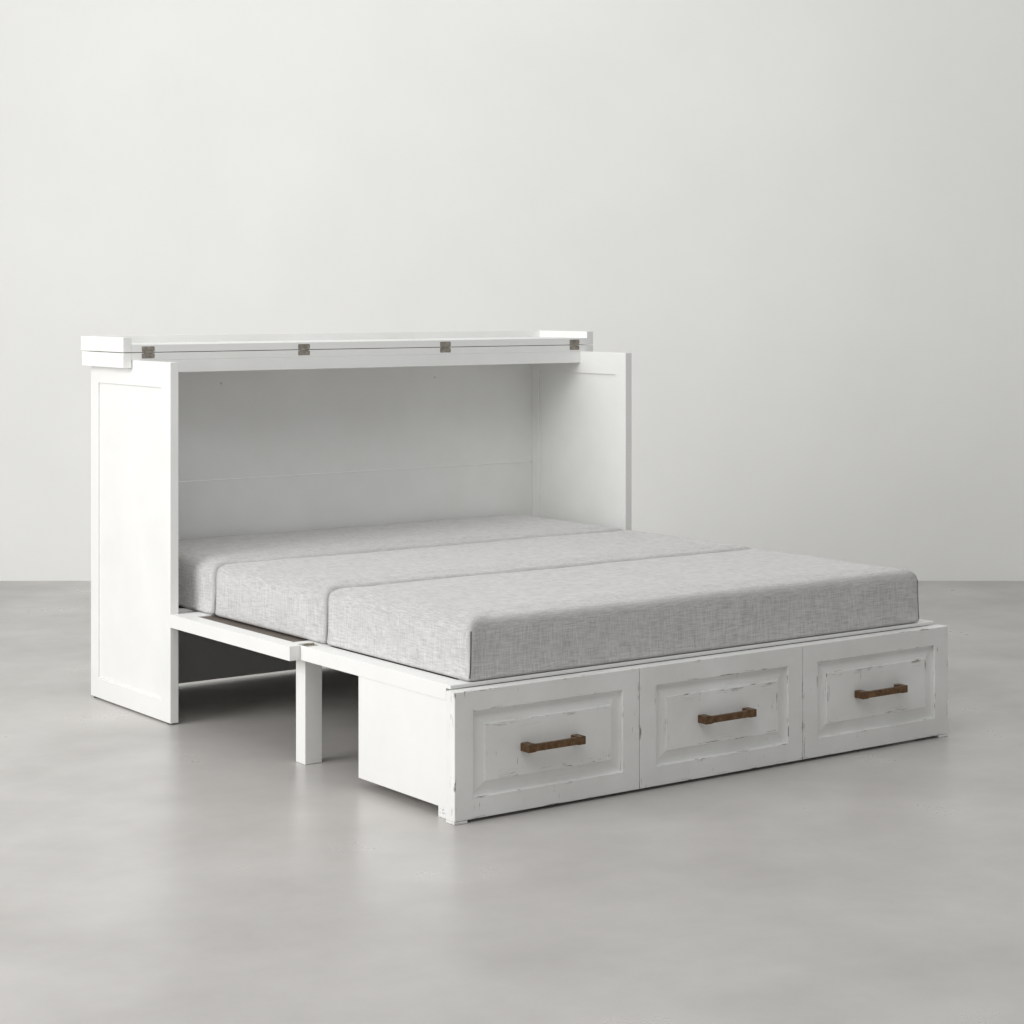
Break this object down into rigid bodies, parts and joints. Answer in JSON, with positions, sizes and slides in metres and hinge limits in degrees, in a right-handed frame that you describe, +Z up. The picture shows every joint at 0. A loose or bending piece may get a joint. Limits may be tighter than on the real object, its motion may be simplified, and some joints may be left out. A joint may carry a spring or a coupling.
{
  "type": "cabinet wall bed",
  "caption": "White painted cabinet bed shown unfolded: lidded cabinet, two folding platforms, drawer chest at the foot and a folding mattress.",
  "frame": {"origin": "on the floor, under the centre of the whole unfolded bed", "axes": "+X across the bed, +Y from the foot to the cabinet's back, +Z up"},
  "size_m": [1.747, 2.088, 1.12],
  "materials": {
    "white_paint": "satin white paint",
    "distressed_paint": "white paint rubbed through at edges",
    "brown_board": "matt brown board",
    "grey_steel": "dull grey steel",
    "bronze_handle": "satin dark bronze",
    "black_glide": "matt",
    "roller_rubber": "matt",
    "mattress_fabric": "heathered woven cover"
  },
  "bodies": {
    "cabinet": {"side_frame_left": "white_paint", "side_frame_right": "white_paint", "side_infill_left": "white_paint", "side_infill_right": "white_paint", "back_panel_lower": "white_paint", "back_panel_upper": "white_paint", "top_rail": "white_paint", "cabinet_glides": "black_glide", "inner_platform_frame": "white_paint", "inner_platform_deck": "brown_board", "lid_rear_board": "white_paint", "lid_rear_rims": "white_paint", "lid_hinge_leaves_fixed": "grey_steel", "lid_hinge_pins": "grey_steel", "platform_hinge_arms": "grey_steel", "mattress_head": "mattress_fabric"},
    "lid_front": {"lid_front_board": "white_paint", "lid_front_rim": "white_paint", "lid_hinge_leaves_moving": "grey_steel"},
    "front_platform": {"front_platform_frame": "white_paint", "front_platform_deck": "brown_board", "front_face_panels": "white_paint", "platform_hinge_pins": "grey_steel", "fold_hinge_leaves_front": "grey_steel", "fold_hinge_pins": "grey_steel", "leg_hinge_leaves_fixed": "grey_steel", "leg_hinge_pins": "grey_steel"},
    "support_legs": {"leg_left": "white_paint", "leg_right": "white_paint", "leg_hinge_leaf_left": "grey_steel", "leg_hinge_leaf_right": "grey_steel"},
    "foot_platform": {"foot_platform_frame": "white_paint", "foot_platform_deck": "brown_board", "fold_hinge_leaves_foot": "grey_steel"},
    "foot_chest": {"chest_side_left": "white_paint", "chest_side_right": "white_paint", "chest_bottom": "white_paint", "chest_rear_rail": "white_paint", "chest_dividers": "white_paint", "chest_front_rail": "white_paint", "chest_feet": "distressed_paint", "drawer_runners": "grey_steel", "roller_brackets": "grey_steel", "roller_pins": "grey_steel"},
    "mattress_middle": {"mattress_middle": "mattress_fabric"},
    "mattress_foot": {"mattress_foot": "mattress_fabric"},
    "drawer_left": {"drawer_front_left": "distressed_paint", "drawer_box_left": "brown_board", "drawer_handle_left": "bronze_handle"},
    "drawer_middle": {"drawer_front_middle": "distressed_paint", "drawer_box_middle": "brown_board", "drawer_handle_middle": "bronze_handle"},
    "drawer_right": {"drawer_front_right": "distressed_paint", "drawer_box_right": "brown_board", "drawer_handle_right": "bronze_handle"},
    "roller_1": {"roller_1": "roller_rubber"},
    "roller_2": {"roller_2": "roller_rubber"},
    "roller_3": {"roller_3": "roller_rubber"},
    "roller_4": {"roller_4": "roller_rubber"}
  },
  "joints": [
    {"name": "lid_front_fold", "type": "hinge", "parent": "cabinet", "child": "lid_front", "pos_m": [0, 0.731, 1.074], "axis": [1, 0, 0], "range_deg": [0, 180]},
    {"name": "platform_lift", "type": "hinge", "parent": "cabinet", "child": "front_platform", "pos_m": [0, 0.46775, 0.31675], "axis": [-1, 0, 0], "range_deg": [0, 90], "deforming": ["mattress_head"]},
    {"name": "leg_fold", "type": "hinge", "parent": "front_platform", "child": "support_legs", "pos_m": [0, -0.174, 0.28], "axis": [1, 0, 0], "range_deg": [0, 90]},
    {"name": "chest_roll", "type": "slide", "parent": "cabinet", "child": "foot_chest", "axis": [0, 1, 0], "range_m": [0, 1.448]},
    {"name": "foot_platform_fold", "type": "hinge", "parent": "front_platform", "child": "foot_platform", "pos_m": [0, -0.2435, 0.322], "axis": [-1, 0, 0], "range_deg": [0, 180], "deforming": ["mattress_middle", "mattress_foot"]},
    {"name": "mattress_middle_lift", "type": "slide", "parent": "front_platform", "child": "mattress_middle", "axis": [0, 0, 1], "range_m": [0, 0.0406]},
    {"name": "mattress_foot_fold", "type": "hinge", "parent": "mattress_middle", "child": "mattress_foot", "pos_m": [0, -0.279, 0.474], "axis": [-1, 0, 0], "range_deg": [0, 180]},
    {"name": "drawer_left_slide", "type": "slide", "parent": "foot_chest", "child": "drawer_left", "axis": [0, -1, 0], "range_m": [0, 0.34]},
    {"name": "drawer_middle_slide", "type": "slide", "parent": "foot_chest", "child": "drawer_middle", "axis": [0, -1, 0], "range_m": [0, 0.34]},
    {"name": "drawer_right_slide", "type": "slide", "parent": "foot_chest", "child": "drawer_right", "axis": [0, -1, 0], "range_m": [0, 0.34]},
    {"name": "roller_1_spin", "type": "hinge", "parent": "foot_chest", "child": "roller_1", "pos_m": [-0.706, -0.866, 0.02], "axis": [1, 0, 0], "continuous": true},
    {"name": "roller_2_spin", "type": "hinge", "parent": "foot_chest", "child": "roller_2", "pos_m": [0.706, -0.866, 0.02], "axis": [1, 0, 0], "continuous": true},
    {"name": "roller_3_spin", "type": "hinge", "parent": "foot_chest", "child": "roller_3", "pos_m": [-0.706, -0.631, 0.02], "axis": [1, 0, 0], "continuous": true},
    {"name": "roller_4_spin", "type": "hinge", "parent": "foot_chest", "child": "roller_4", "pos_m": [0.706, -0.631, 0.02], "axis": [1, 0, 0], "continuous": true}
  ],
  "couplings": [
    {"joint": "leg_fold", "follows": "platform_lift", "ratio": 1},
    {"joint": "chest_roll", "follows": "platform_lift", "m_per_rad": 0.92182},
    {"joint": "mattress_middle_lift", "follows": "foot_platform_fold", "m_per_rad": 0.01289},
    {"joint": "mattress_foot_fold", "follows": "foot_platform_fold", "ratio": 1}
  ]
}
